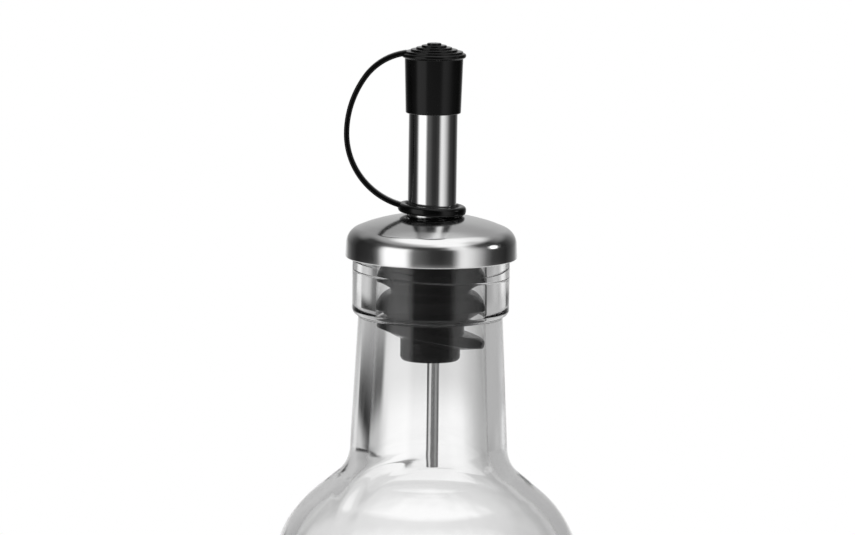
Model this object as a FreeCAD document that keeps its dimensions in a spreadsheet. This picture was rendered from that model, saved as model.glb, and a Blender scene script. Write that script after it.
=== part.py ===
"""Oil bottle with a steel pourer and a tethered cap, as a parametric FreeCAD model.

The frame stands on the middle of the bottle's base, with +Z up the bottle's axis. The strap of
the cap is on the -X side. Lengths are in millimetres and angles in degrees. Every size is a cell
of the spreadsheet, and the sketches and features are bound to those cells.
"""
import FreeCAD, Part

import math
import os
import re
from collections import namedtuple

import Sketcher
from FreeCAD import Placement, Rotation, Vector

SIZES = {
    # glass body
    "bottle_height": 260.0,
    "body_diameter": 62.0,
    "body_wall": 2.8,
    "heel_radius": 6.0,
    "base_thickness": 5.0,
    "floor_radius": 5.0,
    "foot_inset": 4.0,
    "foot_radius": 2.0,
    "punt_depth": 4.0,
    "shoulder_rise": 12.5,
    "shoulder_radius": 22.0,
    "shoulder_wall": 3.0,
    # glass neck and its finish, the thick ring round the mouth
    "neck_length": 30.3,
    "neck_wall": 3.5,
    "neck_base_flare": 1.3,
    "neck_base_wall": 3.7,
    "neck_base_radius": 7.5,
    "finish_wall": 4.75,
    "finish_height": 15.5,
    "finish_radius": 1.2,
    "lip_radius": 1.0,
    "bore_diameter": 21.8,
    # steel cap plate over the mouth
    "dome_play": 0.75,
    "dome_rim_flare": 0.2,
    "dome_drop": 4.0,
    "dome_crown_radius": 40.0,
    "dome_corner_radius": 3.5,
    "steel_thickness": 0.5,
    "seat_clearance": 0.05,
    # steel spout tube and air tube
    "spout_diameter": 9.7,
    "spout_reach": 34.6,
    "spout_seat": 5.0,
    "air_diameter": 2.4,
    "air_wall": 0.35,
    "air_reach": 45.5,
    "air_rise": 1.0,
    "air_gap": 0.166713,
    "air_bearing": 13.57043,
    # finned stopper
    "head_inset": 1.45,
    "head_edge_height": 1.60574,
    "head_radius": 0.8,
    "root_diameter": 16.0,
    "hub_diameter": 13.4,
    "core_diameter": 11.9,
    "core_depth": 24.2,
    "core_radius": 1.0,
    "first_fin_gap": 0.2,
    "fin_pitch": 5.5,
    "last_fin_drop": 11.1,
    "fin_shoulder": 2.9,
    "fin_shoulder_radius": 2.5,
    "fin_skirt": 1.9,
    "fin_clearance": 0.06,
    "last_fin_shoulder": 2.0,
    "last_fin_radius": 1.2,
    "last_fin_skirt": 1.5,
    "last_fin_tilt": 12.0,
    "channel_diameter": 4.4,
    "channel_back": 2.1,
    # cap that covers the spout
    "cap_clearance": 0.1,
    "cap_overlap": 9.8,
    "cap_skirt": 10.95,
    "cap_rim_wall": 0.525,
    "cap_wall": 0.85,
    "cap_ceiling_gap": 0.4,
    "flange_overhang": 0.56,
    "flange_thickness": 0.9,
    "flange_radius": 0.4,
    "step_inset": 0.6,
    "step_tread": 1.085,
    "step_rise": 0.4,
    "step_radius": 0.12,
    # strap and its ring round the foot of the spout
    "ring_play": 0.25,
    "ring_width": 1.7,
    "ring_thickness": 1.8,
    "ring_radius": 0.7,
    "ring_clearance": 0.11,
    "ring_tilt": 2.9,
    "strap_width": 2.3,
    "strap_thickness": 1.08,
    "strap_radius": 0.4,
    "strap_reach": 17.1,
    "strap_bend_height": 20.6,
    "strap_rise_on_ring": 0.3,
    "strap_sink": 0.96,
    "strap_middle_turn": 35.3,
    "strap_top_turn": 47.7,
}

STEP_COUNT = 5

FORMULAS = {
    # glass
    "body_radius": "body_diameter / 2",
    "foot_edge": "body_radius - heel_radius - foot_inset",
    "inner_radius": "body_radius - body_wall",
    "bore_radius": "bore_diameter / 2",
    "neck_base_inner": "bore_radius + neck_base_flare",
    "neck_base_outer": "neck_base_inner + neck_base_wall",
    "finish_outer": "bore_radius + finish_wall",
    "finish_foot": "bottle_height - finish_height",
    "neck_base": "finish_foot - neck_length",
    "shoulder_run": "body_radius - neck_base_outer",
    "shoulder_top": "neck_base - shoulder_rise",
    "shoulder_slope": "shoulder_rise / shoulder_run",
    "shoulder_drop": "shoulder_wall * sqrt(1 + shoulder_slope * shoulder_slope)",
    "inner_slope_foot": "neck_base - shoulder_drop",
    "inner_neck_base": "inner_slope_foot + neck_base_wall * shoulder_slope",
    "inner_shoulder": "inner_slope_foot - (inner_radius - neck_base_outer) * shoulder_slope",
    # steel
    "dome_radius": "finish_outer + dome_play + steel_thickness",
    "dome_rim": "dome_radius + dome_rim_flare",
    "inner_crown_radius": "dome_crown_radius - steel_thickness",
    "spout_radius": "spout_diameter / 2",
    "hole_radius": "spout_radius + seat_clearance",
    "air_offset": "spout_radius - steel_thickness - air_gap - air_diameter / 2",
    "air_x": "air_offset * sin(air_bearing)",
    "air_y": "-(air_offset * cos(air_bearing))",
    "spout_foot": "bottle_height - spout_seat",
    "spout_top": "bottle_height + spout_reach",
    # stopper, whose head carries the steel plate
    "head_edge": "finish_outer - head_inset",
    "head_crown_radius": "inner_crown_radius - seat_clearance",
    "head_crown_height": "sqrt(head_crown_radius * head_crown_radius - head_edge * head_edge)",
    "crown_centre": "bottle_height + head_edge_height - head_crown_height",
    "fin_radius": "bore_radius - fin_clearance",
    "root_radius": "root_diameter / 2",
    "hub_radius": "hub_diameter / 2",
    "hub_skirt": "fin_skirt * (fin_radius - hub_radius) / (fin_radius - root_radius)",
    "core_foot": "bottle_height - core_depth",
    "first_fin": "spout_foot - first_fin_gap - fin_shoulder",
    "last_fin": "first_fin - last_fin_drop",
    # cap
    "cap_foot": "spout_top - cap_overlap",
    "cap_bore": "spout_radius + cap_clearance",
    "cap_edge": "cap_bore + cap_wall",
    "flange_foot": "cap_foot + cap_skirt",
    "flange_top": "flange_foot + flange_thickness",
    "flange_edge": "cap_edge + flange_overhang",
    # strap and ring
    "ring_inner": "spout_radius + ring_play",
    "ring_outer": "ring_inner + ring_width",
    "ring_middle": "(ring_inner + ring_outer) / 2",
    "ring_low_side": "ring_middle * sin(ring_tilt) + ring_thickness / 2",
    "strap_bend": "bottle_height + strap_bend_height",
    "strap_cap_end": "flange_edge - strap_sink",
}

Corner = namedtuple("Corner", "name x z radius domed", defaults=(None, False))


def formula(text):
    """Spell the named sizes and formulas of a text out as an expression on the sheet."""
    def spell(match):
        word = match.group(0)
        if word in FORMULAS:
            return "(" + formula(FORMULAS[word]) + ")"
        return "Sizes." + word if word in SIZES else word

    return re.sub(r"[a-z][a-z_]*", spell, text)


def value(text):
    """Work out a formula with the sizes that the sheet holds."""
    return float(sheet.evalExpression(formula(text)))


def crown(radius, at):
    """Height over the base of a crown of this radius, at a distance from the axis."""
    return f"crown_centre + sqrt({radius} * {radius} - ({at}) * ({at}))"


def ring_level():
    """Height of the ring's middle, which leaves its low side just clear of the crown."""
    return crown("dome_crown_radius", "ring_middle") + " + ring_low_side + ring_clearance"


def new_body(name):
    """Start a sub-part, whose label names its file."""
    body = document.addObject("PartDesign::Body", name)
    body.Label = name
    body.Placement = Placement()
    return body


def new_sketch(body, name, plane="XZ_Plane", lift=None, tilt=None):
    """Attach a sketch to a plane of the body, lifted along +Z and turned in the plane."""
    sketch = body.newObject("Sketcher::SketchObject", name)
    support = next(item for item in body.Origin.OriginFeatures if item.Role == plane)
    sketch.AttachmentSupport = [(support, "")]
    sketch.MapMode = "FlatFace"
    if lift:
        height = "y" if plane == "XZ_Plane" else "z"
        sketch.setExpression(f"AttachmentOffset.Base.{height}", formula(lift))
    if tilt:
        sketch.AttachmentOffset = Placement(Vector(), Rotation(Vector(0, 0, 1), 1.0))
        sketch.setExpression("AttachmentOffset.Rotation.Angle", formula(tilt))
    document.recompute()
    return sketch


def bind(sketch, constraint, name, text):
    """Add a constraint whose size follows a formula on the sheet."""
    index = sketch.addConstraint(constraint)
    sketch.renameConstraint(index, name)
    sketch.setExpression(f"Constraints.{name}", formula(text))


def place(sketch, name, geometry, end, x, z):
    """Fix a point of a sketch at two formulas, counted from the sketch's origin."""
    for suffix, kind, text, axis in (("x", "DistanceX", x, -2), ("z", "DistanceY", z, -1)):
        if text == "0":
            sketch.addConstraint(Sketcher.Constraint("PointOnObject", geometry, end, axis))
        else:
            distance = Sketcher.Constraint(kind, -1, 1, geometry, end, value(text))
            bind(sketch, distance, f"{name}_{suffix}", text)


def arc(centre, start, finish, leftwards):
    """Make an arc about a centre, and tell which of its ends comes first along the way."""
    first, last = (start, finish) if leftwards else (finish, start)
    angles = [math.atan2(point.y - centre.y, point.x - centre.x) for point in (first, last)]
    circle = Part.Circle(centre, Vector(0, 0, 1), start.distanceToPoint(centre))
    return Part.ArcOfCircle(circle, angles[0], angles[1]), (1, 2) if leftwards else (2, 1)


class Edge:
    """One edge of an outline: straight, or an arc centred on the sketch's upright axis."""

    def __init__(self, start, finish, domed):
        self.start = start
        self.finish = finish
        self.centre = None
        if domed:
            squares = start.dot(start) - finish.dot(finish)
            self.centre = Vector(0, squares / (2 * (start.y - finish.y)), 0)
            spokes = (start - self.centre).cross(finish - self.centre)
            self.leftwards = spokes.z > 0

    def heading(self, point):
        """Direction of travel at one of the edge's ends."""
        if self.centre is None:
            return (self.finish - self.start).normalize()
        spoke = (point - self.centre).normalize()
        return Vector(-spoke.y, spoke.x, 0) if self.leftwards else Vector(spoke.y, -spoke.x, 0)

    def draw(self, sketch, start, finish):
        """Add the edge between two points on it, and give its number and its two ends."""
        if self.centre is None:
            return sketch.addGeometry(Part.LineSegment(start, finish)), (1, 2)
        curve, ends = arc(self.centre, start, finish, self.leftwards)
        number = sketch.addGeometry(curve)
        sketch.addConstraint(Sketcher.Constraint("PointOnObject", number, 3, -2))
        return number, ends


def draw_outline(sketch, corners):
    """Draw a closed outline through the corners and bind its places and radii to the sheet."""
    points = [Vector(value(corner.x), value(corner.z), 0) for corner in corners]
    following = points[1:] + points[:1]
    edges = [Edge(*ends, corner.domed) for *ends, corner in zip(points, following, corners)]
    starts = list(points)
    finishes = list(points)
    roundings = {}
    for index, corner in enumerate(corners):
        if corner.radius is None:
            continue
        point = points[index]
        arriving = edges[index - 1].heading(point)
        leaving = edges[index].heading(point)
        radius = value(corner.radius)
        setback = radius * math.tan(arriving.getAngle(leaving) / 2)
        leftwards = arriving.cross(leaving).z > 0
        finishes[index] = point - arriving * setback
        starts[index] = point + leaving * setback
        inward = Vector(-arriving.y, arriving.x, 0) * (radius if leftwards else -radius)
        roundings[index] = (finishes[index] + inward, leftwards)
    drawn = []
    for index, edge in enumerate(edges):
        drawn.append(edge.draw(sketch, starts[index], finishes[(index + 1) % len(points)]))
    for index, corner in enumerate(corners):
        before, (_, arrival) = drawn[index - 1]
        after, (departure, _) = drawn[index]
        if index not in roundings:
            joint = Sketcher.Constraint("Coincident", before, arrival, after, departure)
            sketch.addConstraint(joint)
            place(sketch, corner.name, after, departure, corner.x, corner.z)
            continue
        centre, leftwards = roundings[index]
        curve, (entry, leave) = arc(centre, finishes[index], starts[index], leftwards)
        rounding = sketch.addGeometry(curve)
        mark = sketch.addGeometry(Part.Point(points[index]), True)
        sketch.addConstraint([
            Sketcher.Constraint("Tangent", before, arrival, rounding, entry),
            Sketcher.Constraint("Tangent", rounding, leave, after, departure),
            Sketcher.Constraint("PointOnObject", mark, 1, before),
            Sketcher.Constraint("PointOnObject", mark, 1, after),
        ])
        place(sketch, corner.name, mark, 1, corner.x, corner.z)
        size = Sketcher.Constraint("Radius", rounding, value(corner.radius))
        bind(sketch, size, f"{corner.name}_radius", corner.radius)


def revolve(body, name, corners, lift=None, tilt=None):
    """Turn a closed outline round the sketch's upright axis and add it to the body."""
    sketch = new_sketch(body, name + "_outline", lift=lift, tilt=tilt)
    draw_outline(sketch, corners)
    feature = body.newObject("PartDesign::Revolution", name)
    feature.Profile = sketch
    feature.ReferenceAxis = (sketch, ["V_Axis"])
    feature.Angle = 360
    document.recompute()
    return feature


def draw_circle(sketch, name, x, z, diameter):
    """Draw a circle whose place and diameter follow the sheet."""
    centre = Vector(value(x), value(z), 0)
    circle = Part.Circle(centre, Vector(0, 0, 1), value(diameter) / 2)
    number = sketch.addGeometry(circle)
    place(sketch, name, number, 3, x, z)
    size = Sketcher.Constraint("Diameter", number, value(diameter))
    bind(sketch, size, f"{name}_diameter", diameter)


def make_bottle():
    """Clear glass bottle: round body, flared neck and a thick ring round the mouth."""
    body = new_body("bottle")
    revolve(body, "bottle_glass", [
        Corner("punt", "0", "punt_depth", domed=True),
        Corner("foot", "foot_edge", "0", "foot_radius"),
        Corner("heel", "body_radius", "0", "heel_radius"),
        Corner("shoulder", "body_radius", "shoulder_top", "shoulder_radius"),
        Corner("neck_base", "neck_base_outer", "neck_base", "neck_base_radius"),
        Corner("neck_top", "bore_radius + neck_wall", "finish_foot"),
        Corner("finish_foot", "finish_outer", "finish_foot", "finish_radius"),
        Corner("lip_outside", "finish_outer", "bottle_height", "lip_radius"),
        Corner("lip_inside", "bore_radius", "bottle_height", "lip_radius"),
        Corner("bore_foot", "bore_radius", "finish_foot"),
        Corner("inside_neck", "neck_base_inner", "inner_neck_base",
               "neck_base_radius + shoulder_wall"),
        Corner("inside_shoulder", "inner_radius", "inner_shoulder",
               "shoulder_radius - shoulder_wall"),
        Corner("floor_edge", "inner_radius", "base_thickness", "floor_radius"),
        Corner("floor_middle", "0", "base_thickness + punt_depth / 2"),
    ])
    return body


def make_dome():
    """Pressed steel plate that covers the mouth, with a short skirt and a low crown."""
    body = new_body("dome_cap")
    inner_radius = "dome_radius - steel_thickness"
    revolve(body, "dome_shell", [
        Corner("rim_outside", "dome_rim", "bottle_height - dome_drop"),
        Corner("corner_outside", "dome_radius", crown("dome_crown_radius", "dome_radius"),
               "dome_corner_radius", domed=True),
        Corner("hole_top", "hole_radius", crown("dome_crown_radius", "hole_radius")),
        Corner("hole_foot", "hole_radius", crown("inner_crown_radius", "hole_radius"), domed=True),
        Corner("corner_inside", inner_radius, crown("inner_crown_radius", inner_radius),
               "dome_corner_radius - steel_thickness"),
        Corner("rim_inside", "dome_rim - steel_thickness", "bottle_height - dome_drop"),
    ])
    return body


def make_tube(name, x, y, foot, top, diameter, wall):
    """Straight steel tube that stands upright."""
    body = new_body(name)
    sketch = new_sketch(body, name + "_section", plane="XY_Plane", lift=foot)
    draw_circle(sketch, "outside", x, y, diameter)
    draw_circle(sketch, "inside", x, y, f"{diameter} - 2 * {wall}")
    pad = body.newObject("PartDesign::Pad", name + "_length")
    pad.Profile = sketch
    pad.setExpression("Length", formula(f"{top} - ({foot})"))
    document.recompute()
    return body


def fin_corners(name, rim, foot, skirt):
    """Outline of one fin down its side: a rounded shoulder, then a skirt that tapers in."""
    return [
        Corner(f"{name}_valley", "root_radius", f"{rim} + fin_shoulder"),
        Corner(f"{name}_shoulder", "fin_radius", f"{rim} + fin_shoulder", "fin_shoulder_radius"),
        Corner(f"{name}_rim", "fin_radius", rim),
        Corner(f"{name}_foot", foot, f"{rim} - {skirt}"),
    ]


def make_stopper_head():
    """Black head of the stopper: a disc on the mouth over a short sleeve for the spout's foot."""
    body = new_body("stopper_head")
    revolve(body, "head", [
        Corner("sleeve_inside", "hole_radius", "spout_foot"),
        Corner("head_top", "hole_radius", crown("head_crown_radius", "hole_radius"), domed=True),
        Corner("head_edge", "head_edge", "bottle_height + head_edge_height", "head_radius"),
        Corner("head_foot", "head_edge", "bottle_height"),
        Corner("sleeve_top", "root_radius", "bottle_height"),
        Corner("sleeve_outside", "root_radius", "spout_foot"),
    ])
    return body


def make_stopper():
    """Black core of the stopper, under the spout's foot, with soft fins that fill the bore."""
    body = new_body("stopper")
    corners = [
        Corner("top_middle", "0", "spout_foot"),
        Corner("top_edge", "root_radius", "spout_foot"),
    ]
    corners += fin_corners("upper_fin", "first_fin", "root_radius", "fin_skirt")
    corners += fin_corners("lower_fin", "first_fin - fin_pitch", "hub_radius", "hub_skirt")
    corners += [
        Corner("hub_foot", "hub_radius", "last_fin"),
        Corner("core_top", "core_diameter / 2", "last_fin"),
        Corner("core_edge", "core_diameter / 2", "core_foot", "core_radius"),
        Corner("core_middle", "0", "core_foot"),
    ]
    revolve(body, "stopper_core", corners)
    revolve(body, "tilted_fin", [
        Corner("hub_foot", "core_diameter / 4", "-last_fin_skirt"),
        Corner("hub_top", "core_diameter / 4", "last_fin_shoulder"),
        Corner("shoulder", "fin_radius", "last_fin_shoulder", "last_fin_radius"),
        Corner("rim", "fin_radius", "0"),
        Corner("foot", "core_diameter / 2", "-last_fin_skirt"),
    ], lift="last_fin", tilt="-last_fin_tilt")
    holes = new_sketch(body, "holes", plane="XY_Plane", lift="spout_foot")
    draw_circle(holes, "channel", "0", "channel_back", "channel_diameter")
    draw_circle(holes, "air_hole", "air_x", "air_y", "air_diameter + 2 * seat_clearance")
    cut = body.newObject("PartDesign::Pocket", "holes_through")
    cut.Profile = holes
    cut.Type = "ThroughAll"
    document.recompute()
    return body


def step_corners():
    """Outline of the cap's stepped top, from its widest step up to the middle."""
    corners = []
    for count in range(STEP_COUNT):
        radius = f"flange_edge - step_inset - {count} * step_tread"
        corners += [
            Corner(f"step_{count + 1}_foot", radius, f"flange_top + {count} * step_rise"),
            Corner(f"step_{count + 1}_edge", radius, f"flange_top + {count + 1} * step_rise",
                   "step_radius"),
        ]
    return corners + [Corner("top_middle", "0", f"flange_top + {STEP_COUNT} * step_rise")]


def make_cap(body):
    """Add the cap: a tapered cup over the spout with a flange and a stepped top."""
    revolve(body, "cap", [
        Corner("ceiling", "0", "spout_top + cap_ceiling_gap"),
        Corner("bore_top", "cap_bore", "spout_top + cap_ceiling_gap"),
        Corner("bore_foot", "cap_bore", "cap_foot"),
        Corner("rim", "cap_bore + cap_rim_wall", "cap_foot", "step_radius"),
        Corner("neck", "cap_edge", "flange_foot"),
        Corner("flange_edge", "flange_edge", "flange_foot", "flange_radius"),
        Corner("flange_top", "flange_edge", "flange_top", "flange_radius"),
        *step_corners(),
    ])


def sweep_strap(body, name, route):
    """Sweep the strap's rounded section along a route that starts where the strap is upright."""
    section = new_sketch(body, name + "_section", plane="XY_Plane", lift="strap_bend")
    outer = "-(strap_reach + strap_thickness / 2)"
    inner = "-(strap_reach - strap_thickness / 2)"
    front = "-strap_width / 2"
    back = "strap_width / 2"
    draw_outline(section, [
        Corner("outer_front", outer, front, "strap_radius"),
        Corner("inner_front", inner, front, "strap_radius"),
        Corner("inner_back", inner, back, "strap_radius"),
        Corner("outer_back", outer, back, "strap_radius"),
    ])
    pipe = body.newObject("PartDesign::AdditivePipe", name)
    pipe.Profile = section
    pipe.Spine = (route, [f"Edge{count + 1}" for count in range(route.GeometryCount)])
    document.recompute()


def start_route(sketch, number, start):
    """Hold an arc's start at the strap's widest point, where it runs straight up or down."""
    place(sketch, "bend", number, start, "-strap_reach", "strap_bend")
    sketch.addConstraint(Sketcher.Constraint("Horizontal", number, start, number, 3))


def add_upper_strap(body):
    """Add the upper strap: two arcs, the second one tighter, that end in the cap's flange."""
    bend = Vector(-value("strap_reach"), value("strap_bend"), 0)
    end = Vector(-value("strap_cap_end"), value("flange_top"), 0)
    first_turn = math.radians(value("strap_middle_turn"))
    last_turn = math.radians(value("strap_top_turn"))
    whole_turn = first_turn + last_turn
    # Across and up, the two arcs together span the way from the bend to the end.
    across = (1 - math.cos(first_turn), math.cos(first_turn) - math.cos(whole_turn))
    up = (math.sin(first_turn), math.sin(whole_turn) - math.sin(first_turn))
    wide, high = end.x - bend.x, end.y - bend.y
    scale = across[0] * up[1] - across[1] * up[0]
    first_radius = (wide * up[1] - across[1] * high) / scale
    last_radius = (across[0] * high - wide * up[0]) / scale
    first_centre = bend + Vector(first_radius, 0, 0)
    spoke = Vector(math.cos(first_turn), -math.sin(first_turn), 0)
    joint = first_centre - spoke * first_radius
    last_centre = joint + spoke * last_radius

    route = new_sketch(body, "strap_upper_route")
    first_curve, (first_start, first_end) = arc(first_centre, bend, joint, leftwards=False)
    first = route.addGeometry(first_curve)
    last_curve, (last_start, last_end) = arc(last_centre, joint, end, leftwards=False)
    last = route.addGeometry(last_curve)
    start_route(route, first, first_start)
    route.addConstraint(Sketcher.Constraint("Tangent", first, first_end, last, last_start))
    place(route, "cap_end", last, last_end, "-strap_cap_end", "flange_top")
    bind(route, Sketcher.Constraint("Angle", first, first_turn), "middle_turn", "strap_middle_turn")
    bind(route, Sketcher.Constraint("Angle", last, last_turn), "top_turn", "strap_top_turn")
    sweep_strap(body, "strap_upper", route)


def add_lower_strap(body):
    """Add the lower strap: one arc that comes in to the middle of the ring's section."""
    bend = Vector(-value("strap_reach"), value("strap_bend"), 0)
    end_level = ring_level() + " + ring_middle * sin(ring_tilt) + strap_rise_on_ring"
    end = Vector(-value("ring_middle"), value(end_level), 0)
    way = end - bend
    centre = bend + Vector(way.dot(way) / (2 * way.x), 0, 0)
    route = new_sketch(body, "strap_lower_route")
    curve, (start, finish) = arc(centre, bend, end, leftwards=True)
    number = route.addGeometry(curve)
    start_route(route, number, start)
    place(route, "ring_end", number, finish, "-ring_middle", end_level)
    sweep_strap(body, "strap_lower", route)


def add_ring(body):
    """Add the ring round the foot of the spout, tilted up towards the strap."""
    half = "ring_thickness / 2"
    revolve(body, "ring", [
        Corner("inner_foot", "ring_inner", "-" + half, "ring_radius"),
        Corner("outer_foot", "ring_outer", "-" + half, "ring_radius"),
        Corner("outer_top", "ring_outer", half, "ring_radius"),
        Corner("inner_top", "ring_inner", half, "ring_radius"),
    ], lift=ring_level(), tilt="-ring_tilt")


def make_pour_cap():
    """Black moulding in one piece: the cap, the strap and the ring that keeps it on the spout."""
    body = new_body("pour_cap")
    make_cap(body)
    add_upper_strap(body)
    add_lower_strap(body)
    add_ring(body)
    return body


def check(bodies):
    """Stop on a failed object, an open sketch, or a sub-part that isn't one valid solid."""
    for item in document.Objects:
        if {"Invalid", "Error"} & set(item.State):
            raise RuntimeError(f"{item.Name} failed: {item.State}")
        if item.TypeId == "Sketcher::SketchObject" and item.solve() != 0:
            raise RuntimeError(f"the sketch {item.Name} has no solution")
    for body in bodies:
        shape = body.Shape
        if shape.isNull() or not shape.isValid() or len(shape.Solids) != 1:
            raise RuntimeError(f"{body.Label} isn't one valid solid")


document = FreeCAD.newDocument("OilBottle")
sheet = document.addObject("Spreadsheet::Sheet", "Sizes")
for row, (alias, size) in enumerate(SIZES.items(), start=1):
    sheet.set(f"A{row}", alias)
    sheet.set(f"B{row}", str(size))
    sheet.setAlias(f"B{row}", alias)
document.recompute()

sub_parts = [
    make_bottle(),
    make_dome(),
    make_tube("spout_tube", "0", "0", "spout_foot", "spout_top",
              "spout_diameter", "steel_thickness"),
    make_tube("air_tube", "air_x", "air_y", "bottle_height - air_reach", "spout_foot + air_rise",
              "air_diameter", "air_wall"),
    make_stopper_head(),
    make_stopper(),
    make_pour_cap(),
]
document.recompute()
check(sub_parts)
os.makedirs("parts", exist_ok=True)
for sub_part in sub_parts:
    sub_part.Shape.exportStep(f"parts/{sub_part.Label}.step")
    print(f"{sub_part.Label}: {sub_part.Shape.Volume:.1f} mm3")
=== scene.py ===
"""Oil bottle with a steel pourer and a tethered cap: its glass, steel and plastic over the frame.

Every piece is modelled in place, in metres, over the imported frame. The bottle stands on the middle
of its base with +Z up, and the strap of the cap is on the -X side. Sizes in the classes are in
millimetres, and heights are counted from the plane of the glass mouth unless a name says otherwise.
"""
from __future__ import annotations

import logging
import math
from collections.abc import Callable
from dataclasses import dataclass
from enum import Enum, IntEnum

import bmesh
import bpy
from mathutils import Euler, Matrix, Vector

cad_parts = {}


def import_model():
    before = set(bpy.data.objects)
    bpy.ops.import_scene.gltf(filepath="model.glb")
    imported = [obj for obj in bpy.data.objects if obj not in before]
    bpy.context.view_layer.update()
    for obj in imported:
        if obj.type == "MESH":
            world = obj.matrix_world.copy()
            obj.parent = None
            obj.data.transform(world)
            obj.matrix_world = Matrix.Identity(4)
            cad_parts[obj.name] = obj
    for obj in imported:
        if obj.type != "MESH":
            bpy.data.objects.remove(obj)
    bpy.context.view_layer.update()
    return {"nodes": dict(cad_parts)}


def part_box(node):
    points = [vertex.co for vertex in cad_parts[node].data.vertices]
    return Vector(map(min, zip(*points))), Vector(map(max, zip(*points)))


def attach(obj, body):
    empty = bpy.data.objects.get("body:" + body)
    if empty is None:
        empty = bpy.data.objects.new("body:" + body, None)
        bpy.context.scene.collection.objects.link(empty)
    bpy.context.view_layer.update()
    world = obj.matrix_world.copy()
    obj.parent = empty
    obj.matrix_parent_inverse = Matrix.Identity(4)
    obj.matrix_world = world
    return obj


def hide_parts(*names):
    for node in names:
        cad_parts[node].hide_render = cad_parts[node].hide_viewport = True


LOG = logging.getLogger("oil_bottle")
MM = 0.001
MERGE_REACH = 0.002 * MM
ORIGIN = (0.0, 0.0, 0.0)
UP = (0.0, 0.0, 1.0)
ALONG_Y = (0.0, 1.0, 0.0)
ROOT = "root"


class Fineness(Enum):
    """How many steps a full turn takes, by how close the piece is looked at."""

    WIDE = 160
    ROUND = 112


class Arc(IntEnum):
    """How many chords a rounded corner is made of, by its size."""

    TINY = 3
    SMALL = 4
    EDGE = 6
    SOFT = 8
    BROAD = 10
    LARGE = 14
    SHOULDER = 18


# ---- Outlines and modelling ----


@dataclass(frozen=True)
class Corner:
    """A corner of an outline, in millimetres from the axis and from the mouth.

    Attributes:
        across: Distance from the axis.
        height: Height over the plane of the mouth.
        rounding: Radius of the arc that rounds the corner, or 0 for a sharp one.
        steps: How many chords the arc is made of.
    """

    across: float
    height: float
    rounding: float = 0.0
    steps: int = Arc.EDGE


def dome_height(radius: float, apex: float, across: float) -> float:
    """Give the height of an arc that is centred on the axis.

    Args:
        radius: Radius of the arc; a negative one dips at the axis.
        apex: Height of the arc on the axis.
        across: Distance from the axis.

    Returns:
        The arc's height at that distance.
    """
    sagitta = abs(radius) - math.sqrt(radius * radius - across * across)
    return apex - math.copysign(sagitta, radius)


def crown(radius: float, apex: float, start: float, end: float, steps: int) -> list[Corner]:
    """Give corners along an arc that is centred on the axis.

    Args:
        radius: Radius of the arc; a negative one dips at the axis.
        apex: Height of the arc on the axis.
        start: Distance from the axis where the corners start.
        end: Distance from the axis where they end.
        steps: How many chords lie between them.

    Returns:
        The corners, from start to end.
    """
    corners = []
    for count in range(steps + 1):
        across = start + (end - start) * count / steps
        corners.append(Corner(across, dome_height(radius, apex, across)))
    return corners


def trace(corners: list[Corner], closed: bool) -> list[Vector]:
    """Turn the corners of an outline into points, with the rounded corners as arcs.

    Args:
        corners: The corners in order.
        closed: Whether the outline returns to its start.

    Returns:
        The points in the plane of the outline, in millimetres.
    """
    marks = [Vector((corner.across, corner.height)) for corner in corners]
    points = []
    for index, corner in enumerate(corners):
        mark = marks[index]
        if corner.rounding == 0.0 or (not closed and index in (0, len(corners) - 1)):
            points.append(mark)
            continue
        back = (marks[index - 1] - mark).normalized()
        ahead = (marks[(index + 1) % len(marks)] - mark).normalized()
        half = back.angle(ahead) / 2
        middle = mark + (back + ahead).normalized() * (corner.rounding / math.sin(half))
        first = mark + back * (corner.rounding / math.tan(half)) - middle
        last = mark + ahead * (corner.rounding / math.tan(half)) - middle
        turn = first.angle_signed(last)
        for count in range(corner.steps + 1):
            spoke = first.copy()
            spoke.rotate(Matrix.Rotation(-turn * count / corner.steps, 2))
            points.append(middle + spoke)
    return points


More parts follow.
